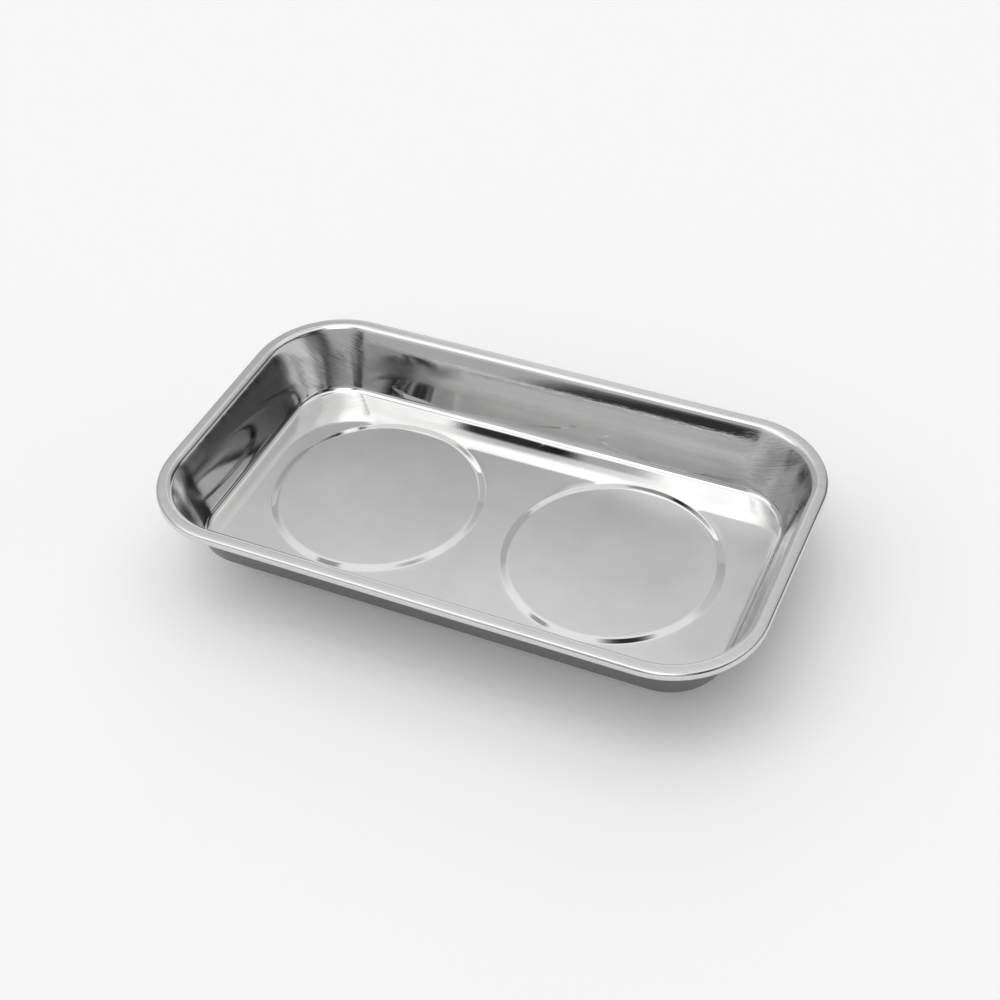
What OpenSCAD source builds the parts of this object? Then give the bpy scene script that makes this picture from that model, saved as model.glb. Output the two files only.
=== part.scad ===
// Magnetic parts tray: a pressed steel pan on two round magnet bases.
// Millimetres. X runs along the length, Y across the width, Z up.
// The origin is on the resting plane, under the middle of the pan.

/* [Pan] */
// length over the turned-down lip
pan_length = 241.3; // [220:0.1:280]
// width over the turned-down lip
pan_width = 139.7; // [130:0.1:170]
// inside depth, from the floor to the top of the rim
pan_depth = 26.8; // [18:0.1:40]
// sheet thickness of the pan
sheet_t = 0.5; // [0.4:0.05:0.8]
// plan radius of the rim's outer corners
rim_corner_r = 36; // [30:0.5:50]
// height of the turned-down lip, from the top of the rim
lip_drop = 2.8; // [2:0.1:6]
// outside radius of the bend between rim and lip
lip_bend_r = 1.2; // [1:0.1:1.8]
// distance from the lip's face to where the rim starts to roll inwards
rim_flat = 3.6; // [2.5:0.1:6]
// radius of the roll from the rim down into the wall
rim_bend_r = 2.9; // [2:0.1:6]
// slope of the wall away from upright, in degrees
wall_draft = 19.5; // [10:0.5:24]
// inside radius between the wall and the floor
floor_bend_r = 2.8; // [1.5:0.1:4]

/* [Plateaus] */
// distance between the centres of the two raised circles
plateau_pitch = 99.5; // [96:0.5:110]
// rise of each circle above the floor
plateau_rise = 0.55; // [0.3:0.05:1]
// width of the sloped ring around each circle
plateau_run = 2.3; // [1.5:0.1:3]
// room between the boot and the start of the sloped ring
plateau_room = 0.7; // [0.4:0.1:1]

/* [Magnet base] */
// outside diameter of the ring magnet
magnet_d = 72; // [60:0.5:73]
// bore of the ring magnet
magnet_bore = 32; // [26:0.5:36]
// thickness of the ring magnet
magnet_h = 10; // [8:0.5:16]
// thickness of the bonding pad under the pan
pad_t = 1; // [0.5:0.1:2]
// how far the pad's edges stay back from the magnet's edges
pad_inset = 1; // [0.5:0.1:3]

/* [Boot] */
// side wall of the rubber boot
boot_wall = 3.3; // [2:0.1:3.8]
// rubber under the magnet
boot_base = 3; // [2.6:0.1:5]
// gap between boot and magnet
boot_fit = 0.2; // [0.1:0.05:0.4]
// radius of the boot's lower outer edge
boot_round = 1.6; // [0.5:0.1:2.4]

/* [Retaining cup] */
// sheet thickness of the cup
cup_t = 1; // [0.8:0.1:1.4]
// height of the dish above its flange
cup_rise = 7.6; // [7:0.1:9]
// outside diameter of the flange
cup_flange_d = 46; // [43:0.5:50]
// gap between the dish and the bores around it
cup_fit = 0.2; // [0.1:0.05:0.4]
// height of the flange's underside above the resting plane
cup_recess = 0.6; // [0.3:0.1:0.9]
// gap around the flange's edge in the boot
flange_room = 0.4; // [0.2:0.1:0.8]
// inside radius of the dish's bends
cup_bend = 1; // [0.6:0.1:1.6]

/* [Fixings] */
// thread diameter of the welded stud
stud_d = 5; // [4:0.5:6]
// diameter of the stud's welding flange
stud_flange_d = 7; // [6.8:0.1:9]
// thickness of the stud's welding flange
stud_flange_t = 0.8; // [0.5:0.1:0.9]
// length of stud below the nut
stud_proud = 1; // [0.6:0.1:1.4]
// gap around the thread in the nut and the lock washer
thread_gap = 0.1; // [0.05:0.05:0.2]
// gap around the stud in the cup's hole
hole_gap = 0.25; // [0.2:0.05:0.4]
// distance across the flats of the nut
nut_af = 8; // [7.6:0.1:10]
// height of the nut
nut_h = 4; // [3:0.1:4.4]
// slope of the nut's turned-off corners, in degrees
nut_chamfer = 30; // [20:1:40]
// width of the lock washer's section
washer_w = 1.9; // [1.4:0.1:2.2]
// thickness of the lock washer
washer_t = 1.2; // [0.8:0.1:1.5]
// width of the split in the lock washer
washer_split = 0.8; // [0.5:0.1:1.2]

/* [Hidden] */
$fn = 96;
// how far a shape runs on past the face that it cuts or joins
over = 1;
// straight steps in each bend of a sheet or a moulded edge
bend_steps = 8;

// heights of the stack, upwards from the resting plane
magnet_z = boot_base;
pad_z = magnet_z + magnet_h;
seat_z = pad_z + pad_t;
floor_top = seat_z + sheet_t - plateau_rise;
rim_top = floor_top + pan_depth;
flange_top = cup_recess + cup_t;
dish_top = flange_top + cup_rise;
washer_top = dish_top - cup_t;
nut_top = washer_top - washer_t;
stud_end = nut_top - nut_h - stud_proud;

// radii of the magnet base
magnet_r = magnet_d / 2;
bore_r = magnet_bore / 2;
boot_in = magnet_r + boot_fit;
boot_r = boot_in + boot_wall;
flange_r = cup_flange_d / 2;
dish_r = bore_r - cup_fit;
web_r = dish_r + cup_bend + cup_fit;
plateau_r = boot_r + plateau_room;
ramp_r = plateau_r + plateau_run;

// pan section: distances inwards from the lip's face, depths below the rim
turn = 90 - wall_draft;
wall_in_top = rim_flat + rim_bend_r * sin(turn);
wall_d_top = rim_bend_r * (1 - cos(turn));
wall_d_low = pan_depth - floor_bend_r * (1 - cos(turn));
wall_in_low = wall_in_top + (wall_d_low - wall_d_top) * tan(wall_draft);
floor_in = wall_in_low + floor_bend_r * sin(turn);
corner_x = pan_length / 2 - rim_corner_r;
corner_y = pan_width / 2 - rim_corner_r;
floor_r = rim_corner_r - floor_in;

steel = [0.76, 0.76, 0.75];
zinc = [0.66, 0.67, 0.69];
ferrite = [0.20, 0.20, 0.21];
rubber = [0.06, 0.06, 0.06];
foam = [0.86, 0.86, 0.82];

// Points of a bend of radius r about c, from one angle to another.
function bend(c, r, from, to) = [
  for (i = [0:bend_steps])
    let (angle = from + (to - from) * i / bend_steps)
    c + r * [cos(angle), sin(angle)]
];

// Section of the pan, from the lip to the floor under the corner's axis: x is
// the distance from that axis, y the height.
module pan_section() {
  lip_c = [rim_corner_r - lip_bend_r, rim_top - lip_bend_r];
  rim_c = [rim_corner_r - rim_flat, rim_top - rim_bend_r];
  floor_c = [floor_r, floor_top + floor_bend_r];
  polygon(concat(
    [[rim_corner_r, rim_top - lip_drop]],
    bend(lip_c, lip_bend_r, 0, 90),
    bend(rim_c, rim_bend_r, 90, 90 + turn),
    bend(floor_c, floor_bend_r, 270 + turn, 270),
    [[0, floor_top], [0, floor_top - sheet_t]],
    bend(floor_c, floor_bend_r + sheet_t, 270, 270 + turn),
    bend(rim_c, rim_bend_r - sheet_t, 90 + turn, 90),
    bend(lip_c, lip_bend_r - sheet_t, 90, 0),
    [[rim_corner_r - sheet_t, rim_top - lip_drop]]
  ));
}

// One quarter of the pan, from the corner's axis: the rounded corner, half of
// each side beside it, and the floor between them. The halves run `over` past
// the middle, into the next quarter.
module pan_quarter(half_a, half_b) {
  rotate_extrude(angle = 90)
    pan_section();
  rotate([90, 0, 0])
    linear_extrude(half_a + over)
      pan_section();
  rotate([90, 0, 90])
    mirror([0, 0, 1])
      linear_extrude(half_b + over)
        pan_section();
  translate([-half_b - over, -half_a - over, floor_top - sheet_t])
    cube([half_b + over, half_a + over, sheet_t]);
}

module pan_blank() {
  for (q = [[1, 1, 0], [-1, 1, 90], [-1, -1, 180], [1, -1, 270]])
    translate([q[0] * corner_x, q[1] * corner_y, 0])
      rotate([0, 0, q[2]])
        if (q[0] == q[1])
          pan_quarter(corner_y, corner_x);
        else
          pan_quarter(corner_x, corner_y);
}

// A low cone: upper face of one raised circle, or the hollow under it.
// It starts `below` under the floor's face and ends at the circle's face.
module plateau_form(face, below) {
  translate([0, 0, face]) {
    cylinder(r1 = ramp_r, r2 = plateau_r, h = plateau_rise);
    translate([0, 0, -below])
      cylinder(r = ramp_r, h = below);
  }
}

module tray_pan() {
  color(steel)
    difference() {
      union() {
        pan_blank();
        for (x = [-1, 1])
          translate([x * plateau_pitch / 2, 0, 0])
            plateau_form(floor_top, sheet_t / 2);
      }
      for (x = [-1, 1])
        translate([x * plateau_pitch / 2, 0, 0])
          plateau_form(floor_top - sheet_t, over);
    }
}

// Places a piece of the magnet base under the left or the right circle.
module base(side) {
  translate([side * plateau_pitch / 2, 0, 0])
    children();
}

// Threaded stud welded under the middle of the circle.
module weld_stud() {
  color(zinc)
    union() {
      translate([0, 0, stud_end])
        cylinder(d = stud_d, h = seat_z - stud_end);
      translate([0, 0, seat_z - stud_flange_t])
        cylinder(d = stud_flange_d, h = stud_flange_t);
    }
}

// Double-sided foam ring between the magnet and the pan.
module bonding_pad() {
  color(foam)
    translate([0, 0, pad_z])
      difference() {
        cylinder(r = magnet_r - pad_inset, h = pad_t);
        translate([0, 0, -over])
          cylinder(r = bore_r + pad_inset, h = pad_t + 2 * over);
      }
}

module ring_magnet() {
  color(ferrite)
    translate([0, 0, magnet_z])
      difference() {
        cylinder(r = magnet_r, h = magnet_h);
        translate([0, 0, -over])
          cylinder(r = bore_r, h = magnet_h + 2 * over);
      }
}

// Moulded boot: wraps the magnet's side and underside, and the cup's flange
// clamps its inner web against the magnet.
module rubber_boot() {
  recess_r = flange_r + flange_room;
  round_c = [boot_r - boot_round, boot_round];
  color(rubber)
    rotate_extrude()
      polygon(concat(
        [[web_r, flange_top], [recess_r, flange_top], [recess_r, 0]],
        bend(round_c, boot_round, 270, 360),
        [[boot_r, seat_z], [boot_in, seat_z], [boot_in, boot_base], [web_r, boot_base]]
      ));
}

// Pressed steel dish: its flange carries the boot and the magnet, and the
// nut sits inside it, clear of the resting plane.
module retaining_cup() {
  hole_r = stud_d / 2 + hole_gap;
  outer = cup_bend + cup_t;
  low_c = [dish_r + cup_bend, flange_top + cup_bend];
  high_c = [dish_r - outer, dish_top - outer];
  color(zinc)
    rotate_extrude()
      polygon(concat(
        [[flange_r, cup_recess]],
        bend(low_c, outer, 270, 180),
        bend(high_c, cup_bend, 0, 90),
        [[hole_r, washer_top], [hole_r, dish_top]],
        bend(high_c, outer, 90, 0),
        bend(low_c, cup_bend, 180, 270),
        [[flange_r, flange_top]]
      ));
}

module lock_washer() {
  ring_r = stud_d / 2 + thread_gap;
  color(zinc)
    translate([0, 0, nut_top])
      difference() {
        cylinder(r = ring_r + washer_w, h = washer_t);
        translate([0, 0, -over])
          cylinder(r = ring_r, h = washer_t + 2 * over);
        translate([0, -washer_split / 2, -over])
          cube([ring_r + washer_w + over, washer_split, washer_t + 2 * over]);
      }
}

// Hexagon nut with its corners turned off top and bottom.
module hex_nut() {
  corner = nut_af / cos(30);
  wide = nut_af + 2 * nut_h / tan(nut_chamfer);
  color(zinc)
    translate([0, 0, nut_top - nut_h])
      difference() {
        intersection() {
          cylinder(d = corner, h = nut_h, $fn = 6);
          cylinder(d1 = nut_af, d2 = wide, h = nut_h);
          cylinder(d1 = wide, d2 = nut_af, h = nut_h);
        }
        translate([0, 0, -over])
          cylinder(r = stud_d / 2 + thread_gap, h = nut_h + 2 * over);
      }
}

tray_pan();
base(-1) weld_stud();  // left_weld_stud
base(-1) bonding_pad();  // left_bonding_pad
base(-1) ring_magnet();  // left_ring_magnet
base(-1) rubber_boot();  // left_rubber_boot
base(-1) retaining_cup();  // left_retaining_cup
base(-1) lock_washer();  // left_lock_washer
base(-1) hex_nut();  // left_hex_nut
base(1) weld_stud();  // right_weld_stud
base(1) bonding_pad();  // right_bonding_pad
base(1) ring_magnet();  // right_ring_magnet
base(1) rubber_boot();  // right_rubber_boot
base(1) retaining_cup();  // right_retaining_cup
base(1) lock_washer();  // right_lock_washer
base(1) hex_nut();  // right_hex_nut
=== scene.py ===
# %% [markdown]
# # A magnetic parts tray
# A mechanic keeps screws in a tray like this one. It is a pan pressed from
# bright steel sheet, and two ring magnets in rubber boots hang under its floor.
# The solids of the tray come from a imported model, which is loaded first. It is
# the frame: every piece below is made in metres, at the place the frame gives.

# %% Load the frame
import math

import bpy
import numpy as np
from mathutils import Matrix, Vector


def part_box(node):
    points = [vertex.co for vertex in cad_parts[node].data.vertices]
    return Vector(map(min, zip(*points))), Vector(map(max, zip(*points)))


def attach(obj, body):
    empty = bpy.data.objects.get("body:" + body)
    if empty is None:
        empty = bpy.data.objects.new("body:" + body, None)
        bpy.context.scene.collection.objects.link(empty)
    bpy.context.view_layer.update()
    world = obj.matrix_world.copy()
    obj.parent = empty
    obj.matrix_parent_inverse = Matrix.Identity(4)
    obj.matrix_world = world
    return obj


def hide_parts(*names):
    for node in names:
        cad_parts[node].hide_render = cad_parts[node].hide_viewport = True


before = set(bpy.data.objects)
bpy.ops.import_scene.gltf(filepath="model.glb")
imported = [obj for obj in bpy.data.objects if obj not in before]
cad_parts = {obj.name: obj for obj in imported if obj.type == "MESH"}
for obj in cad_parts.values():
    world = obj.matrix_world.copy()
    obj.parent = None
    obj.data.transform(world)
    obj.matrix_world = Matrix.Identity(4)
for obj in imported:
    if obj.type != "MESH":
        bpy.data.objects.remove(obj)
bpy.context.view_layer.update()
MM = 0.001

# %% [markdown]
# ## The camera
# A product picture is taken with a longish lens from above one corner. Blender
# could aim a camera with a constraint, but a matrix built from the eye, the
# point it looks at and a roll needs no helper object and stays readable.

# %% Place the camera
EYE = Vector((210.98, -421.33, 471.48)) * MM
AIM = Vector((10.48, -0.39, 30.0)) * MM
ROLL = math.radians(-2.657)
LENS = 60.77
SHIFT = (-0.0155, 0.0041)

back = (EYE - AIM).normalized()
level = Vector((0, 0, 1)).cross(back).normalized()
turned = Matrix((level, back.cross(level), back)).transposed() @ Matrix.Rotation(ROLL, 3, "Z")
camera_data = bpy.data.cameras.new("camera")
camera_data.lens = LENS
camera_data.shift_x, camera_data.shift_y = SHIFT
camera = bpy.data.objects.new("camera", camera_data)
camera.matrix_world = Matrix.Translation(EYE) @ turned.to_4x4()
bpy.context.scene.collection.objects.link(camera)
bpy.context.scene.camera = camera
bpy.context.scene.view_settings.view_transform = "Standard"
print("camera", round((EYE - AIM).length, 3), "m from what it looks at")

# %% [markdown]
# ## Grids and meshes
# Every piece is a grid of points: numpy works out the whole grid at once, and
# neighbouring rows and columns become four-sided faces. Two helpers do that for
# all the pieces. A third one puts the result into Blender, rides it on the
# frame's body, and hides the plain solid that it stands for.

# %% Helpers for grids
BODY = "root"


def grid_faces(rows, columns, start=0, closed=False):
    """Quads of a grid stored row by row: corner (r, c), then the next row, then
    the next column, so a grid whose rows run outwards and whose columns run
    anticlockwise faces up."""
    across = columns if closed else columns - 1
    r, c = np.meshgrid(np.arange(rows - 1), np.arange(across), indexing="ij")
    here = start + r * columns + c
    beside = start + r * columns + (c + 1) % columns
    return np.stack([here, here + columns, beside + columns, beside], -1).reshape(-1, 4)


def weld(points, faces):
    """Points that coincide become one: equal after rounding to a ten-thousandth
    of a millimetre."""
    _, first, which = np.unique(
        np.round(points / (1e-4 * MM)), axis=0, return_index=True, return_inverse=True)
    return points[first], which.reshape(-1)[faces]


def add_piece(name, points, faces, node, slot, sharp=None):
    """A mesh from points and faces, shaded smooth, with edges kept crisp where
    its faces meet at more than `sharp` degrees."""
    mesh = bpy.data.meshes.new(name)
    mesh.from_pydata(points.tolist(), [], faces)
    mesh.shade_smooth()
    if sharp:
        mesh.set_sharp_from_angle(angle=math.radians(sharp))
    piece = bpy.data.objects.new(name, mesh)
    bpy.context.scene.collection.objects.link(piece)
    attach(piece, BODY)
    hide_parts(node)
    print(f"{name}: {len(points)} points, {len(faces)} faces")
    return piece


def arc(centre, radius, start, end, steps):
    """Points centre + radius * (cos a, sin a), with a from start to end degrees."""
    a = np.radians(np.linspace(start, end, steps + 1))
    return np.array(centre) + radius * np.stack([np.cos(a), np.sin(a)], -1)


def straight(first, last, steps):
    """Points that divide a line from first to last into equal steps, ends left out."""
    t = np.arange(1, steps)[:, None] / steps
    return np.array(first) * (1 - t) + np.array(last) * t


# %% [markdown]
# ## The pan's section
# The pan is one sheet of half a millimetre. A press draws the walls, then the
# rim is rolled out and its edge is folded down. Cut through, it is a floor, a
# bend, a sloping wall, a roll, a flat rim and a short lip. That upper face of the
# section is one row of points, to be carried around the plan later.

# %% Section of the pan
pan_low, pan_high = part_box("tray_pan")
RIM_TOP = pan_high.z
SHEET, PAN_DEPTH, RIM_CORNER = 0.5 * MM, 26.8 * MM, 36 * MM
FLOOR_TOP = RIM_TOP - PAN_DEPTH
RIM_FLAT, RIM_BEND = 3.6 * MM, 2.9 * MM
LIP_DROP, LIP_BEND = 2.8 * MM, 1.2 * MM
FLOOR_BEND = 2.8 * MM
# slope of the wall from upright at its foot and its top, in degrees, and the share
# of its height where the flare begins
DRAFT_LOW, DRAFT_HIGH, FLARE_FROM = 17.8, 25.0, 0.5
BEND_STEPS, WALL_STEPS, ROLL_STEPS, FOLD_STEPS, FLAT_STEPS = 12, 20, 14, 10, 3


def rolled(start, radius, heading, turn, steps):
    """An arc that leaves `start` at `heading` degrees from level and turns by
    `turn` degrees: start plus the sums of short steps along the changing heading."""
    middle = np.radians(heading + turn * (np.arange(steps) + 0.5) / steps)
    step = 2 * radius * math.sin(math.radians(abs(turn)) / steps / 2)
    return start + np.cumsum(step * np.stack([np.cos(middle), np.sin(middle)], -1), 0)


def wall_line(start, height, steps):
    """The wall upwards from its foot. Its slope from upright stays at the low
    draft, then grows evenly to the high one, so the wall flares under the rim."""
    t = (np.arange(steps) + 0.5) / steps
    flare = np.clip((t - FLARE_FROM) / (1 - FLARE_FROM), 0, 1)
    draft = np.radians(DRAFT_LOW + (DRAFT_HIGH - DRAFT_LOW) * flare)
    step = np.stack([np.tan(draft), np.ones(steps)], -1) * height / steps
    return start + np.cumsum(step, 0)


def pan_profile():
    """Rows of (outwards from the floor's edge, height): a bend up, the wall, the
    roll outwards, the flat rim, the fold and the lip."""
    bend = rolled(np.array([0, FLOOR_TOP]), FLOOR_BEND, 0, 90 - DRAFT_LOW, BEND_STEPS)
    roll = rolled(np.zeros(2), RIM_BEND, 90 - DRAFT_HIGH, DRAFT_HIGH - 90, ROLL_STEPS)
    wall = wall_line(bend[-1], RIM_TOP - roll[-1, 1] - bend[-1, 1], WALL_STEPS)
    roll = wall[-1] + roll
    flat = roll[-1] + (RIM_FLAT - LIP_BEND, 0)
    fold = rolled(flat, LIP_BEND, 0, -90, FOLD_STEPS)
    foot = fold[-1] - (0, LIP_DROP - LIP_BEND)
    return np.concatenate([
        [[0, FLOOR_TOP]], bend, wall, roll, straight(roll[-1], flat, FLAT_STEPS), [flat],
        fold, straight(fold[-1], foot, FLAT_STEPS), [foot]])


profile = pan_profile()
FLOOR_IN = profile[-1, 0]
profile_length = np.concatenate(
    [[0], np.cumsum(np.linalg.norm(np.diff(profile, axis=0), axis=1))])
print("section:", len(profile), "points, floor edge", round(FLOOR_IN / MM, 2), "mm in")

# %% [markdown]
# ## The floor and its two raised circles
# Each half of the floor is a fan around its raised circle. Rays run from the
# circle's middle to points spaced along the floor's edge, close together in the
# corners, and rings cross the rays: over the circle, down its sloped ring, and
# on to the edge. A grid like this keeps the ring perfectly round, which a square
# grid would not, and a mirror-bright sheet shows every dent.

# %% Plan of the floor
PITCH = 99.5 * MM
# radii where the ring's shoulder begins and ends, and where its foot does
RAMP = np.array([39.4, 40.7, 42.3, 43.0]) * MM
CIRCLE_RISE = 0.55 * MM
corner_x, corner_y = pan_high.x - RIM_CORNER, pan_high.y - RIM_CORNER
FLOOR_CORNER = RIM_CORNER - FLOOR_IN
edge_x, edge_y = corner_x + FLOOR_CORNER, corner_y + FLOOR_CORNER
SIDE_STEPS, CORNER_STEPS, END_STEPS, SEAM_STEPS = 44, 36, 36, 48
CIRCLE_RINGS, RAMP_RINGS, OUTER_RINGS = 12, 26, 10
CIRCLE_SPAN = (0.02, 0.98)


def floor_edge():
    """Edge of the right half of the floor, anticlockwise from the middle of the
    front: a side, a quarter circle, the end, a quarter circle, a side. Returns
    the points and their outward directions."""
    front = arc((corner_x, -corner_y), FLOOR_CORNER, -90, 0, CORNER_STEPS)
    rear = arc((corner_x, corner_y), FLOOR_CORNER, 0, 90, CORNER_STEPS)
    start, end = np.array([[0, -edge_y]]), np.array([[0, edge_y]])
    points = np.concatenate([
        start, straight(start[0], front[0], SIDE_STEPS), front,
        straight(front[-1], rear[0], END_STEPS), rear,
        straight(rear[-1], end[0], SIDE_STEPS), end])
    away = points - np.clip(points, (-corner_x, -corner_y), (corner_x, corner_y))
    return points, away / np.linalg.norm(away, axis=1, keepdims=True)


edge, outward = floor_edge()
print("floor edge of one half:", len(edge), "points")


# %% Half of the upper face
def ramp_height(radius):
    """Height over the floor at a distance from a circle's middle. The slope grows
    evenly over a round shoulder, stays, and dies out over a short foot, so the
    fall is the sum t^2 / 2w, then t, then t - t^2 / 2w of those three widths w."""
    shoulder, steep, foot = (np.clip(radius, low, high) - low
                             for low, high in zip(RAMP[:-1], RAMP[1:]))
    wide, middle, short = np.diff(RAMP)
    fall = shoulder ** 2 / (2 * wide) + steep + foot - foot ** 2 / (2 * short)
    return CIRCLE_RISE * (1 - fall / (wide / 2 + middle + short / 2))


def half_floor():
    """Fan from the circle's middle: rings of radius r out to the foot of the
    ramp, then a blend from that ring to the floor's edge and the seam at x = 0."""
    seam = straight((0, edge_y), (0, -edge_y), SEAM_STEPS)
    border = np.concatenate([edge, seam]) - (PITCH / 2, 0)
    spoke = border / np.linalg.norm(border, axis=1, keepdims=True)
    ring = np.concatenate([
        np.linspace(*CIRCLE_SPAN, CIRCLE_RINGS) * RAMP[0],
        np.linspace(RAMP[0], RAMP[-1], RAMP_RINGS)])
    inner = ring[:, None, None] * spoke
    share = (np.arange(1, OUTER_RINGS + 1) / OUTER_RINGS)[:, None, None]
    outer = inner[-1] * (1 - share) + border * share
    plan = np.concatenate([np.zeros((1, 1, 2)).repeat(len(border), 1), inner, outer])
    height = FLOOR_TOP + ramp_height(np.linalg.norm(plan, axis=-1))
    return np.concatenate([plan + (PITCH / 2, 0), height[..., None]], -1)


def half_wall():
    """The section carried along the floor's edge: edge + outward * distance."""
    plan = edge + outward * profile[:, 0, None, None]
    height = np.broadcast_to(profile[:, 1, None, None], plan.shape[:2] + (1,))
    return np.concatenate([plan, height], -1)


floor_grid, wall_grid = half_floor(), half_wall()
print("half of the pan: floor", floor_grid.shape[:2], "and wall", wall_grid.shape[:2])

# %% [markdown]
# ## One closed sheet
# The left half is the right half mirrored, so its faces are turned round again.
# The under face is the upper face moved half a millimetre against its normals,
# and a rounded strip closes the cut edge of the lip. A Solidify modifier could
# do this too, but here the cut edge should be round and the points should weld.
# Steel sheet is brushed before it is pressed. So a map is kept that says where
# each point lay on the flat sheet: the wall folded out level, and drawn in from
# the corners a little before they begin. A mark on each face tells the outer side.


# %% Build the pan
def point_normals(points, faces):
    """Unit sums of the face normals around each point, from the faces' diagonals."""
    corners = points[faces]
    normal = np.cross(corners[:, 2] - corners[:, 0], corners[:, 3] - corners[:, 1])
    total = np.zeros_like(points)
    np.add.at(total, faces, normal[:, None])
    return total / np.linalg.norm(total, axis=1, keepdims=True)


DRAWN_IN = 10 * MM


def flat_map():
    """Where the points of the right half lay on the flat sheet: x and y on the
    floor, and edge + direction * length up the section on the wall. The direction
    is away from a box that is smaller than the corners' centres by DRAWN_IN."""
    reach = np.array([corner_x, corner_y]) - DRAWN_IN
    away = edge - np.clip(edge, -reach, reach)
    away /= np.linalg.norm(away, axis=1, keepdims=True)
    wall = edge + away * profile_length[:, None, None]
    return np.concatenate([floor_grid[..., :2].reshape(-1, 2), wall.reshape(-1, 2)])


def upper_face():
    """Both halves as one list of points and quads, with their place on the flat
    sheet. The fan's first ring is a single point, so its quads close to triangles
    there."""
    half = np.concatenate([floor_grid.reshape(-1, 3), wall_grid.reshape(-1, 3)])
    faces = np.concatenate([
        grid_faces(*floor_grid.shape[:2], closed=True),
        grid_faces(*wall_grid.shape[:2], start=floor_grid[..., 0].size)])
    points = np.concatenate([half, half * (-1, 1, 1)])
    faces = np.concatenate([faces, faces[:, ::-1] + len(half)])
    flat = flat_map()
    return points, faces, np.concatenate([flat, flat * (-1, 1)])


points, faces, sheet_map = upper_face()
corner_map = sheet_map[faces]
lip = len(floor_grid.reshape(-1, 3)) + (len(profile) - 1) * len(edge) + np.arange(len(edge))
lip_loop = np.concatenate([lip, lip[-2:0:-1] + len(points) // 2])
slots = np.concatenate([faces.reshape(-1), lip_loop])
points, slots = weld(points, slots)
faces, lip_loop = slots[:faces.size].reshape(faces.shape), slots[faces.size:]

normals = point_normals(points, faces)
count = len(points)
under = points - SHEET * normals
round_edge = (points[lip_loop] + under[lip_loop]) / 2 - (0, 0, SHEET / 2)
next_lip = np.roll(lip_loop, -1)
mid = 2 * count + np.arange(len(lip_loop))
next_mid = np.roll(mid, -1)
strips = np.concatenate([
    np.stack([lip_loop, mid, next_mid, next_lip], -1),
    np.stack([mid, lip_loop + count, next_lip + count, next_mid], -1)])
all_faces = np.concatenate([faces, faces[:, ::-1] + count, strips])
all_map = np.concatenate([corner_map, corner_map[:, ::-1], np.zeros(strips.shape + (2,))])

loops = [list(dict.fromkeys(face)) for face in all_faces.tolist()]
pan = add_piece("pan_sheet", np.concatenate([points, under, round_edge]), loops,
                "tray_pan", "pan_steel")
keep = np.roll(all_faces, 1, axis=1) != all_faces
pan_map = pan.data.uv_layers.new(name="sheet_map")
pan_map.data.foreach_set("uv", all_map[keep].astype(np.float32).reshape(-1))
outer_side = pan.data.attributes.new("outer_side", "FLOAT", "FACE")
outer_side.data.foreach_set("value", (np.arange(len(loops)) >= len(faces)).astype(np.float32))

# %% [markdown]
# ## Round pieces of the magnet bases
# Under each circle hang a foam pad, a ring magnet, a rubber boot and a pressed
# cup. All four are turned shapes: a closed outline carried around an axis. Real
# edges are never knife sharp, so each outline's corners are softened first with
# a short curve, and the curve's points are worked out for all corners at once.


# %% Turned pieces
def soften(outline, size, steps=4):
    """Each corner C becomes a curve (1-t)^2 A + 2t(1-t) C + t^2 B, where A and B
    lie `size` before and after it on the outline, or a third of the way at most."""
    corner = np.array(outline, float)
    before, after = np.roll(corner, 1, 0) - corner, np.roll(corner, -1, 0) - corner
    reach = [np.minimum(size / np.linalg.norm(d, axis=1, keepdims=True), 1 / 3)
             for d in (before, after)]
    a, b = corner + before * reach[0], corner + after * reach[1]
    t = np.linspace(0, 1, steps + 1)[None, :, None]
    curve = (1 - t) ** 2 * a[:, None] + 2 * t * (1 - t) * corner[:, None] + t ** 2 * b[:, None]
    return curve.reshape(-1, 2)


def turned_piece(outline, centre_x, steps=128):
    """A closed outline of (radius, height) carried around an upright axis. Twice
    its area, the sum of r z' - r' z, is positive when it runs anticlockwise: it
    is then turned round, so that the faces point outwards."""
    a = np.linspace(0, 2 * np.pi, steps, endpoint=False)
    following = np.roll(outline, -1, 0)
    if np.sum(outline[:, 0] * following[:, 1] - following[:, 0] * outline[:, 1]) > 0:
        outline = outline[::-1]
    r, z = outline[:, 0, None], outline[:, 1, None]
    grid = np.stack([centre_x + r * np.cos(a), r * np.sin(a), z + 0 * a], -1)
    rows = np.concatenate([grid, grid[:1]])
    points, faces = weld(rows.reshape(-1, 3), grid_faces(*rows.shape[:2], closed=True))
    return points, faces.tolist()


SEAT = 14 * MM
MAGNET_R, BORE_R, MAGNET_LOW, MAGNET_TOP = 36 * MM, 16 * MM, 3 * MM, 13 * MM
BOOT_R, BOOT_IN, BOOT_ROUND = 39.5 * MM, 36.2 * MM, 1.6 * MM
WEB_R, RECESS_R, FLANGE_TOP = 17 * MM, 23.4 * MM, 1.6 * MM
CUP_LOW, CUP_SHEET, CUP_BEND = 0.6 * MM, 1 * MM, 1 * MM
FLANGE_R, DISH_R, DISH_TOP, HOLE_R = 23 * MM, 15.8 * MM, 9.2 * MM, 2.75 * MM
PAD_INSET = 1 * MM
# how far the softened edges reach along the outline, and the steps of a bend
MAGNET_EDGE, PAD_EDGE, BOOT_EDGE, CUP_EDGE = 0.5 * MM, 0.15 * MM, 0.35 * MM, 0.18 * MM
BOOT_STEPS, CUP_STEPS = 6, 10

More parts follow.
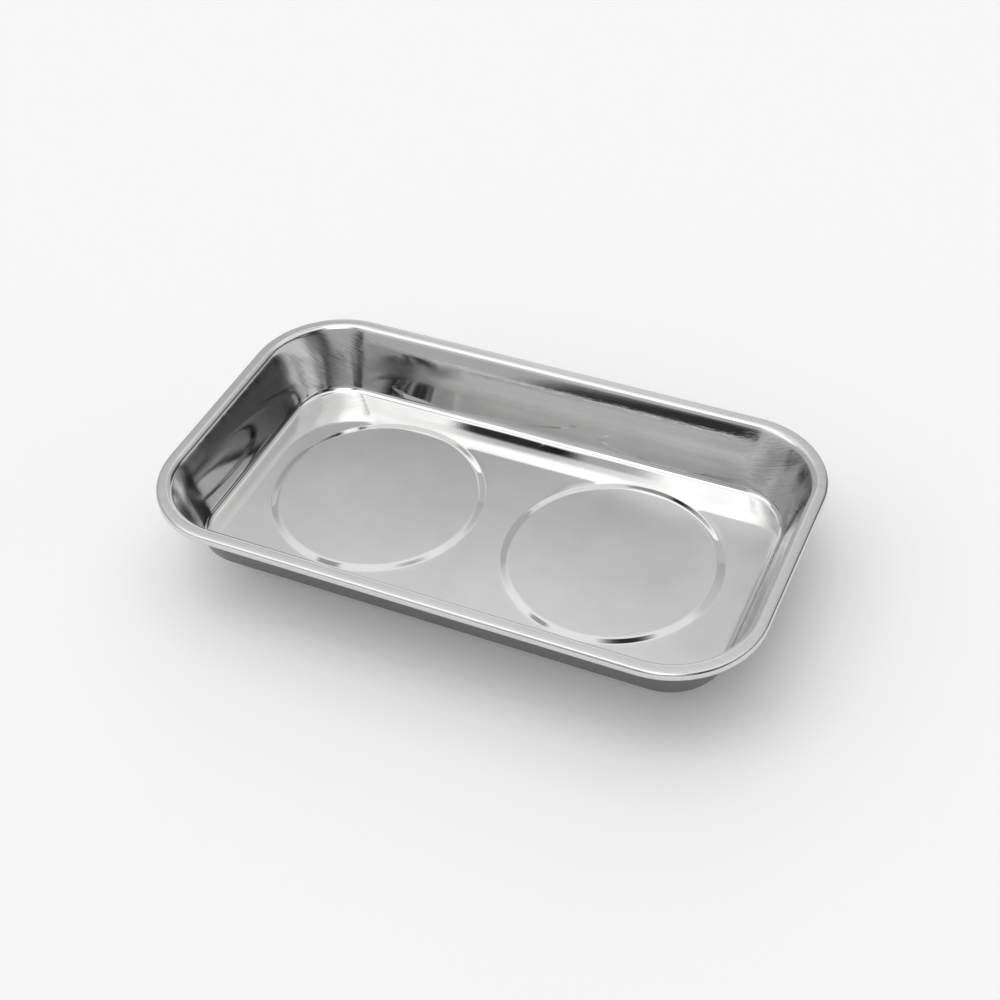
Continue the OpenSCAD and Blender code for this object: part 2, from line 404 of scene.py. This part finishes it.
magnet_outline = soften([
    (BORE_R, MAGNET_LOW), (MAGNET_R, MAGNET_LOW),
    (MAGNET_R, MAGNET_TOP), (BORE_R, MAGNET_TOP)], MAGNET_EDGE)
pad_outline = soften([
    (BORE_R + PAD_INSET, MAGNET_TOP), (MAGNET_R - PAD_INSET, MAGNET_TOP),
    (MAGNET_R - PAD_INSET, SEAT), (BORE_R + PAD_INSET, SEAT)], PAD_EDGE)
boot_outline = soften(np.concatenate([
    [(WEB_R, FLANGE_TOP), (RECESS_R, FLANGE_TOP), (RECESS_R, 0)],
    arc((BOOT_R - BOOT_ROUND, BOOT_ROUND), BOOT_ROUND, 270, 360, BOOT_STEPS),
    [(BOOT_R, SEAT), (BOOT_IN, SEAT), (BOOT_IN, MAGNET_LOW), (WEB_R, MAGNET_LOW)]]),
    BOOT_EDGE)
print("outlines:", len(magnet_outline), len(pad_outline), len(boot_outline), "points")


# %% Outline of the cup
def cup_outline():
    """A flat flange, a bend up into the dish, a bend inwards, and the hole: the
    lower face out and the upper face back, one sheet thickness apart."""
    wide = CUP_BEND + CUP_SHEET
    low = (DISH_R + CUP_BEND, FLANGE_TOP + CUP_BEND)
    high = (DISH_R - wide, DISH_TOP - wide)
    under_top = DISH_TOP - CUP_SHEET
    return soften(np.concatenate([
        [(FLANGE_R, CUP_LOW)], arc(low, wide, 270, 180, CUP_STEPS),
        arc(high, CUP_BEND, 0, 90, CUP_STEPS),
        [(HOLE_R, under_top), (HOLE_R, DISH_TOP)],
        arc(high, wide, 90, 0, CUP_STEPS), arc(low, CUP_BEND, 180, 270, CUP_STEPS),
        [(FLANGE_R, FLANGE_TOP)]]), CUP_EDGE, steps=3)


TURNED = [
    ("bonding_pad", pad_outline, "pad_foam"),
    ("ring_magnet", magnet_outline, "ferrite"),
    ("rubber_boot", boot_outline, "boot_rubber"),
    ("retaining_cup", cup_outline(), "zinc_plate"),
]
SIDES = {"left": -PITCH / 2, "right": PITCH / 2}
pieces = {"pan_steel": [pan]}
for side, centre_x in SIDES.items():
    for node, outline, slot in TURNED:
        made = add_piece(f"{side}_{node}_turned", *turned_piece(outline, centre_x),
                         f"{side}_{node}", slot, sharp=40)
        pieces.setdefault(slot, []).append(made)

# %% [markdown]
# ## Stud, nut and lock washer
# A threaded stud is welded under the middle of each circle, and a nut on a split
# lock washer pulls the cup up against the magnet. A thread is a surface of angle
# and height: the radius dips along a screw line. The nut's outside is the smaller
# of a hexagon and two cones, which turn its corners off in curved edges.

# %% Thread and stud
STUD_R, THREAD_PITCH, THREAD_DEPTH = 2.5 * MM, 0.8 * MM, 0.4 * MM
THREAD_FLANK, THREAD_CREST = 1.25, 0.12
STUD_END, STUD_FLANGE_R, STUD_FLANGE = 2 * MM, 3.5 * MM, 0.8 * MM
STUD_BEVEL, BEVEL_HEIGHT, THREAD_STOP = 0.5 * MM, 0.4 * MM, 0.3 * MM
TURN_STEPS, PITCH_STEPS, RUN_IN_STEPS = 72, 10, 8


def screw_line(angle, height, sense=1):
    """0 on the thread's crest and 1 in its root: a triangle wave of
    height / pitch - angle / full turn, with the tips cut off flat."""
    phase = height / THREAD_PITCH - sense * angle / (2 * np.pi)
    wave = np.abs((phase % 1) * 2 - 1)
    return np.clip(wave * THREAD_FLANK - THREAD_CREST, 0, 1)


def stud_surface(centre_x):
    """Rows from the middle of the cut end, over its bevel, up the thread, and
    over the welding flange to its middle: radius minus the screw line's depth.
    The rows are handed on from the top down, so that the faces point outwards."""
    shank_top = SEAT - STUD_FLANGE
    heights = np.arange(STUD_END + BEVEL_HEIGHT, shank_top - THREAD_STOP,
                        THREAD_PITCH / PITCH_STEPS)
    r = np.concatenate([[0, STUD_R - STUD_BEVEL], np.full(len(heights), STUD_R),
                        [STUD_R, STUD_FLANGE_R, STUD_FLANGE_R, 0]])
    z = np.concatenate([[STUD_END, STUD_END], heights,
                        [shank_top, shank_top, SEAT, SEAT]])
    run_in = np.clip(np.arange(len(heights)) / RUN_IN_STEPS, 0, 1)
    cut = np.concatenate([[0, 0], run_in, [0, 0, 0, 0]])
    a = np.linspace(0, 2 * np.pi, TURN_STEPS, endpoint=False)
    radius = r[:, None] - THREAD_DEPTH * cut[:, None] * screw_line(a, z[:, None])
    rows = [centre_x + radius * np.cos(a), radius * np.sin(a), z[:, None] + 0 * a]
    return np.stack(rows, -1)[::-1]


def closed_grid(grid):
    """Faces of a grid that is closed around, with rows that shrink to a point
    welded to that point."""
    points, faces = weld(grid.reshape(-1, 3), grid_faces(*grid.shape[:2], closed=True))
    loops = [list(dict.fromkeys(face)) for face in faces.tolist()]
    return points, [loop for loop in loops if len(loop) > 2]


for side, centre_x in SIDES.items():
    pieces["zinc_plate"].append(add_piece(
        f"{side}_weld_stud_threaded", *closed_grid(stud_surface(centre_x)),
        f"{side}_weld_stud", "zinc_plate", sharp=50))

# %% Nut and lock washer
NUT_TOP, NUT_HEIGHT, NUT_FLATS = 7 * MM, 4 * MM, 8 * MM
NUT_BORE, BORE_FLARE = 2.6 * MM, 0.35 * MM
NUT_BEVEL = math.radians(30)
NUT_ROWS, BORE_ROWS, WASHER_STEPS = 33, 41, 97
WASHER_HEIGHT, WASHER_WIDTH, WASHER_SPLIT = 1.2 * MM, 1.9 * MM, 0.8 * MM
WASHER_EDGE = 0.2 * MM


def nut_surface(centre_x):
    """Rows up the outside, where the radius is the least of a hexagon and the
    two bevel cones, then over the top and down the bore. They are handed on in
    the other order, so that the faces point outwards."""
    a = np.linspace(0, 2 * np.pi, TURN_STEPS * 2, endpoint=False)
    hexagon = NUT_FLATS / 2 / np.cos(a % (np.pi / 3) - np.pi / 6)
    up = (1 - np.cos(np.linspace(0, np.pi, NUT_ROWS)))[:, None] / 2 * NUT_HEIGHT
    cone = NUT_FLATS / 2 + np.minimum(up, NUT_HEIGHT - up) / math.tan(NUT_BEVEL)
    outside = np.minimum(hexagon, cone)
    down = np.linspace(NUT_HEIGHT, 0, BORE_ROWS)[:, None]
    flare = np.clip(BORE_FLARE - np.minimum(down, NUT_HEIGHT - down), 0, None)
    bore = NUT_BORE + flare + 0 * a
    radius = np.concatenate([outside, bore, outside[:1]])
    height = np.concatenate([up, down, up[:1]]) + NUT_TOP - NUT_HEIGHT
    rows = [centre_x + radius * np.cos(a), radius * np.sin(a), height + 0 * a]
    return np.stack(rows, -1)[::-1]


def washer_surface(centre_x):
    """A softened oblong section carried around the stud, open at the split, with
    both ends closed by their section's middle."""
    inner = NUT_BORE
    outer = inner + WASHER_WIDTH
    section = soften([(inner, 0), (outer, 0), (outer, WASHER_HEIGHT), (inner, WASHER_HEIGHT)],
                     WASHER_EDGE)
    half_gap = math.asin(WASHER_SPLIT / 2 / (inner + WASHER_WIDTH / 2))
    a = np.linspace(half_gap, 2 * np.pi - half_gap, WASHER_STEPS)[:, None]
    ring = np.stack([centre_x + section[:, 0] * np.cos(a), section[:, 0] * np.sin(a),
                     NUT_TOP + section[:, 1] + 0 * a], -1)
    ends = [np.broadcast_to(ring[i].mean(0), ring[i].shape)[None] for i in (0, -1)]
    return np.concatenate([ends[0], ring, ends[1]])


for side, centre_x in SIDES.items():
    for node, surface in (("hex_nut", nut_surface), ("lock_washer", washer_surface)):
        pieces["zinc_plate"].append(add_piece(
            f"{side}_{node}_plated", *closed_grid(surface(centre_x)),
            f"{side}_{node}", "zinc_plate", sharp=30))

# %% [markdown]
# ## Nodes for the finishes
# A finish is a small tree of shader nodes: some read a place, some make a pattern
# from it, and the last one is the shader. It could be drawn by hand in Blender's
# editor. Here it is written, and a few helpers that add one node each keep it short.


# %% Helpers for materials
def add(tree, kind, inputs=None, **settings):
    """One shader node. Settings are its own properties, and inputs are numbers or
    the outputs of other nodes that feed it."""
    made = tree.nodes.new("ShaderNode" + kind)
    for key, value in settings.items():
        setattr(made, key, value)
    for key, value in (inputs or {}).items():
        if isinstance(value, bpy.types.NodeSocket):
            tree.links.new(value, made.inputs[key])
        else:
            made.inputs[key].default_value = value
    return made


def start_material(name, **sockets):
    """A material with its one shader, and the constants set on the shader itself."""
    material = bpy.data.materials.new(name)
    material.use_nodes = True
    shader = material.node_tree.nodes["Principled BSDF"]
    for key, value in sockets.items():
        shader.inputs[key.replace("_", " ")].default_value = value
    return material, material.node_tree, shader


def between(tree, value, low, high, from_low=0.0, from_high=1.0):
    """A value carried from one range to another, smoothly and without overshoot."""
    return add(tree, "MapRange", {"Value": value, "From Min": from_low, "From Max": from_high,
               "To Min": low, "To Max": high}, interpolation_type="SMOOTHSTEP").outputs[0]


def product(tree, first, second):
    """The product of two values."""
    return add(tree, "Math", {0: first, 1: second}, operation="MULTIPLY").outputs[0]


def larger(tree, first, second):
    """The larger of two values."""
    return add(tree, "Math", {0: first, 1: second}, operation="MAXIMUM").outputs[0]


def mixed(tree, share, first, second):
    """The first value where the share is 0, and the second where it is 1."""
    return add(tree, "Mix", {0: share, 2: first, 3: second}).outputs[0]


def noise(tree, place, scale, detail):
    """A noise from 0 to 1, with `scale` waves a metre and finer ones as detail."""
    inputs = {"Vector": place, "Scale": scale, "Detail": detail}
    return add(tree, "TexNoise", inputs).outputs["Fac"]


def finish_pieces(slot, material):
    """Gives the material to all the pieces that take their finish from a slot."""
    for piece in pieces[slot]:
        piece.data.materials.clear()
        piece.data.materials.append(material)
    print(material.name, "on", len(pieces[slot]), "pieces")


# %% [markdown]
# ## Bright steel
# The pan is stainless sheet. It was brushed lengthways, and then the press rubbed
# most of it bright: the floor keeps a fine grain and a faint cloud, the long
# walls are nearly mirrors with a duller belt halfway up, and the brushed lines
# stay on the end walls and in the corners. The rim has an even grain, and the
# outer face is dull. Its colour is also painted far darker than the inside: that
# is painted shade, for the shadow that lies under the rim. A metal needs a
# reflectance, a roughness that varies, and small bumps. Grain and cloud read Object
# coordinates. The lines read the map of the flat sheet, which bends them around
# the corners as the press did.

# %% Where the finish of the steel changes
# heights over the floor, and distances past the centres of the corners, in millimetres
WALL_FOOT, BELT_FOOT, BELT_TOP = (0.8, 5.0), (8.0, 12.0), (15.0, 20.0)
SATIN_RISE, RIM_ROLL = (9.0, 23.8), (24.3, 26.2)
PAST_SIDE, PAST_END = (-12.0, 8.0), (-4.0, 10.0)
# how much of the brushed satin is left on them, where the corners have all of it
LONG_WALL_SATIN, END_WALL_SATIN = 0.2, 0.3

steel, tree, shader = start_material("bright_steel", Metallic=1.0)
place = add(tree, "TexCoord").outputs["Object"]
folded = add(tree, "VectorMath", {0: place}, operation="ABSOLUTE").outputs[0]
from_middle = add(tree, "SeparateXYZ", {0: folded}).outputs


def steel_step(axis, start, span, low=0.0, high=1.0):
    """A smooth step from low to high along an axis, over a span of millimetres that
    is measured from `start`, and the same on both sides of the tray's middle."""
    return between(tree, from_middle[axis], low, high, *(start + mm * MM for mm in span))


on_wall = steel_step("Z", FLOOR_TOP, WALL_FOOT)
on_top = steel_step("Z", FLOOR_TOP, SATIN_RISE)
on_rim = steel_step("Z", FLOOR_TOP, RIM_ROLL)
past_side = steel_step("X", corner_x, PAST_SIDE)
in_corner = product(tree, past_side, steel_step("Y", corner_y, PAST_END, END_WALL_SATIN))
upper = product(tree, on_top, between(tree, past_side, LONG_WALL_SATIN, 1.0))
satin = larger(tree, upper, in_corner)
belt = product(tree, steel_step("Z", FLOOR_TOP, BELT_FOOT),
               steel_step("Z", FLOOR_TOP, BELT_TOP, 1.0, 0.0))
belt = product(tree, belt, between(tree, past_side, 1.0, 0.0))
outside = add(tree, "Attribute", attribute_name="outer_side").outputs["Fac"]
print("steel: floor, walls, rim and outer face told apart by", len(tree.nodes), "nodes")

# %% Patterns and colour of the steel
# waves a metre, and the middle of a noise's range, where most of it lies
LINE_WAVES, GRAIN_WAVES, CLOUD_WAVES = (110.0, 1900.0, 1.0), 2400.0, 38.0
MOST = (0.3, 0.7)
INNER_TONES = ((0.645, 0.643, 0.640, 1), (0.715, 0.714, 0.712, 1))
# the outer face's tones are painted shade: its steel is darkened as if it lay in the shadow
# under the rim
OUTER_SHADE_TONES = ((0.17, 0.17, 0.17, 1), (0.23, 0.23, 0.23, 1))

flat_sheet = add(tree, "UVMap", uv_map="sheet_map").outputs[0]
brushed = add(tree, "Mapping", {"Vector": flat_sheet, "Scale": LINE_WAVES}).outputs[0]
lines = noise(tree, brushed, 1.0, 3.0)
grain = noise(tree, place, GRAIN_WAVES, 3.0)
cloud = noise(tree, place, CLOUD_WAVES, 4.0)
drift = mixed(tree, product(tree, satin, on_wall), cloud, lines)
ramps = [add(tree, "ValToRGB", {0: drift}) for _ in range(2)]
for ramp, tones in zip(ramps, (INNER_TONES, OUTER_SHADE_TONES)):
    for element, tone, at in zip(ramp.color_ramp.elements, tones, MOST):
        element.color, element.position = tone, at
# the outer face takes the painted shade tones, and the inner face the steel's own tones
tone = add(tree, "Mix", {0: outside, 6: ramps[0].outputs[0], 7: ramps[1].outputs[0]},
           data_type="RGBA").outputs[2]
tree.links.new(tone, shader.inputs["Base Color"])
print("steel: inner and outer tones", INNER_TONES[0][0], OUTER_SHADE_TONES[0][0])

# %% Roughness and relief of the steel
FLOOR_ROUGH, LINE_ROUGH = (0.02, 0.045), (0.08, 0.16)
RIM_ROUGH, OUTER_ROUGH = (0.15, 0.20), (0.30, 0.42)
MIRROR_ROUGH, BELT_ROUGH = 0.025, 0.15
FLOOR_GRAIN, RIM_GRAIN, RELIEF_DEPTH = 0.035, 0.15, 0.055 * MM

wall_rough = mixed(tree, satin, MIRROR_ROUGH, between(tree, lines, *LINE_ROUGH, *MOST))
wall_rough = mixed(tree, belt, wall_rough, BELT_ROUGH)
wall_rough = mixed(tree, on_rim, wall_rough, between(tree, cloud, *RIM_ROUGH, *MOST))
inner_rough = mixed(tree, on_wall, between(tree, cloud, *FLOOR_ROUGH, *MOST), wall_rough)
rough = mixed(tree, outside, inner_rough, between(tree, cloud, *OUTER_ROUGH, *MOST))
tree.links.new(rough, shader.inputs["Roughness"])

wall_relief = mixed(tree, on_rim, product(tree, lines, satin), product(tree, grain, RIM_GRAIN))
relief = mixed(tree, on_wall, product(tree, grain, FLOOR_GRAIN), wall_relief)
bump = add(tree, "Bump", {"Height": relief, "Strength": 1.0, "Distance": RELIEF_DEPTH})
tree.links.new(bump.outputs[0], shader.inputs["Normal"])
finish_pieces("pan_steel", steel)

# %% [markdown]
# ## Rubber, ferrite, foam and zinc
# The boots are moulded black rubber, dull and a little uneven. The magnets are
# fired ferrite, dark grey and speckled like stone. The pads are pale closed-cell
# foam. Cups, nuts, washers and studs are zinc plated: a pale metal with a cloudy,
# slightly blue surface. All four are one drifting noise with a finer one as relief,
# so one function makes them, and only its colours and sizes change.


# %% The four other finishes
FINER, TONE_SPAN, RELIEF_STRENGTH = 9, (0.32, 0.68), 0.6


def clouded(name, slot, colours, rough, scale, bump_depth, **sockets):
    """A finish whose colour and roughness drift over one noise of the given scale
    per metre, with a finer noise as its relief."""
    material, tree, shader = start_material(name, **sockets)
    place = add(tree, "TexCoord").outputs["Object"]
    drift = noise(tree, place, scale, 5.0)
    fine = noise(tree, place, scale * FINER, 3.0)
    ramp = add(tree, "ValToRGB", {0: drift})
    for element, colour, at in zip(ramp.color_ramp.elements, colours, TONE_SPAN):
        element.color, element.position = (*colour, 1), at
    tree.links.new(ramp.outputs[0], shader.inputs["Base Color"])
    tree.links.new(between(tree, drift, *rough, *MOST), shader.inputs["Roughness"])
    relief = add(tree, "Bump", {"Height": fine, "Strength": RELIEF_STRENGTH,
                                "Distance": bump_depth})
    tree.links.new(relief.outputs[0], shader.inputs["Normal"])
    finish_pieces(slot, material)


clouded("black_rubber", "boot_rubber", [(0.010, 0.010, 0.010), (0.022, 0.021, 0.020)],
        (0.55, 0.72), 160.0, 0.05 * MM)
clouded("fired_ferrite", "ferrite", [(0.030, 0.030, 0.032), (0.060, 0.060, 0.062)],
        (0.42, 0.60), 900.0, 0.03 * MM)
clouded("pale_foam", "pad_foam", [(0.72, 0.72, 0.68), (0.82, 0.82, 0.78)],
        (0.80, 0.92), 700.0, 0.08 * MM)
clouded("zinc_plating", "zinc_plate", [(0.56, 0.58, 0.61), (0.70, 0.71, 0.72)],
        (0.24, 0.42), 220.0, 0.008 * MM, Metallic=1.0)

# %% [markdown]
# ## Floor and light
# Bright metal shows what stands around it, so the light is built as a whole room:
# soft boxes overhead and at the left, a window on each side, pale walls behind
# and in front, and dim gaps between them, which draw the dark bands in the steel.
# Lamps could do that, but soft patches in the sky of the world are smoother, and
# their sizes and places are plain angles. The floor is a pale sheet that takes
# the tray's soft shadow, and a pale skirting meets its far edge. To the camera and
# in the steel it is lifted a little towards white, which adds no light to the tray.

# %% Floor
FLOOR_R, FLOOR_SIDES, FLOOR_COLOUR = 3.0, 64, (0.97, 0.97, 0.97, 1)
# how much paler the floor is to the camera and to the steel, 1 being white
FLOOR_LIFT = 0.11
floor_mesh = bpy.data.meshes.new("floor")
rim = arc((0, 0), FLOOR_R, 0, 360, FLOOR_SIDES)[:-1]
floor_mesh.from_pydata([(x, y, 0) for x, y in rim.tolist()], [], [list(range(len(rim)))])
floor = bpy.data.objects.new("floor", floor_mesh)
bpy.context.scene.collection.objects.link(floor)
pale, tree, shader = start_material("pale_floor", Roughness=0.9)
shader.inputs["Base Color"].default_value = FLOOR_COLOUR
shader.inputs["Emission Color"].default_value = (1, 1, 1, 1)
ray = add(tree, "LightPath").outputs
seen = larger(tree, ray["Is Camera Ray"], ray["Is Glossy Ray"])
seen = larger(tree, seen, ray["Is Transmission Ray"])
tree.links.new(product(tree, seen, FLOOR_LIFT), shader.inputs["Emission Strength"])
floor_mesh.materials.append(pale)
print("floor:", 2 * FLOOR_R, "m across")

# %% Room light
# turn from straight behind towards the right, height above the horizon, where the
# patch is full and where it ends, in degrees, and its brightness
ROOM = 0.04
PATCHES = {
    "bright_ceiling": (-50, 70.5, 17, 41, 1.09),
    "soft_box_above": (180, 88, 18, 22.5, 1.3),
    "soft_box_left": (-120, 78, 6, 24.5, 2.2),
    "window_left": (-120, 51.6, 17.9, 20.7, 1.45),
    "panel_front_left": (-139.5, 28, 15.7, 35, 0.71),
    "white_panel_left": (-96, 13.6, 64, 66.4, 0.55),
    "pale_wall_behind": (-11, 21.7, 22.3, 24.4, 0.91),
    "window_right": (78, -4, 30, 38, 0.75),
    "wall_front_right": (112, -15, 10, 40, 0.36),
    "door_right": (109, 31.5, 3, 7.5, 0.65),
    "ceiling_right": (23, 69, 5.6, 50.5, 1.05),
    "wall_in_front": (165, 27, 20, 34, 0.5),
    "ceiling_in_front": (165, 54, 10, 18, 1.9),
    "foot_of_wall_behind": (0, -60, 68, 71, 0.9),
}
# dim gaps between the lights, given the same way, with the share that stays
GAPS = {
    "beside_left_box": (-118, 68.7, 1.7, 2.5, 0.02),
    "end_of_left_box": (-122, 71.2, 0.5, 2.6, 0.35),
    "behind_soft_box": (-9, 72.4, 0.8, 7.7, 0.03),
    "beam_left": (-56, 60.8, 2.2, 3.6, 0.4),
    "above_window": (14, 33.5, 20, 26, 0.7),
    "dark_ceiling_right": (53, 40, 4, 7, 0.05),
    "dark_ceiling_far_right": (72, 39, 6, 9, 0.05),
    "dark_ceiling_front": (119, 42, 4, 7, 0.06),
}
# a pale band at the foot of the room's walls, which meets the floor's edge
SKIRTING, SKIRTING_TOP = 0.9, (1.2, 2.8)


def sky_patch(tree, direction, azimuth, elevation, full, end, low, high):
    """`high` within `full` degrees of a direction and `low` beyond `end`: a smooth
    step of the cosine of the angle between them."""
    a, e = math.radians(azimuth), math.radians(elevation)
    axis = (math.sin(a) * math.cos(e), math.cos(a) * math.cos(e), math.sin(e))
    cosine = add(tree, "VectorMath", {0: direction, 1: axis}, operation="DOT_PRODUCT")
    return between(tree, cosine.outputs["Value"], low, high,
                   math.cos(math.radians(end)), math.cos(math.radians(full)))


world = bpy.data.worlds.new("studio_room")
bpy.context.scene.world = world
world.use_nodes = True
tree = world.node_tree
direction = add(tree, "TexCoord").outputs["Generated"]
strength = ROOM
for *angles, bright in PATCHES.values():
    patch = sky_patch(tree, direction, *angles, 0.0, bright)
    strength = larger(tree, patch, strength)
for *angles, stays in GAPS.values():
    gap = sky_patch(tree, direction, *angles, 1.0, stays)
    strength = product(tree, gap, strength)
up = add(tree, "SeparateXYZ", {0: direction}).outputs["Z"]
skirting = between(tree, up, SKIRTING, 0.0, *(math.sin(math.radians(d)) for d in SKIRTING_TOP))
strength = larger(tree, skirting, strength)
tree.links.new(strength, tree.nodes["Background"].inputs["Strength"])
tree.nodes["Background"].inputs["Color"].default_value = (1, 1, 1, 1)
print("room light:", len(PATCHES), "bright patches,", len(GAPS), "gaps")
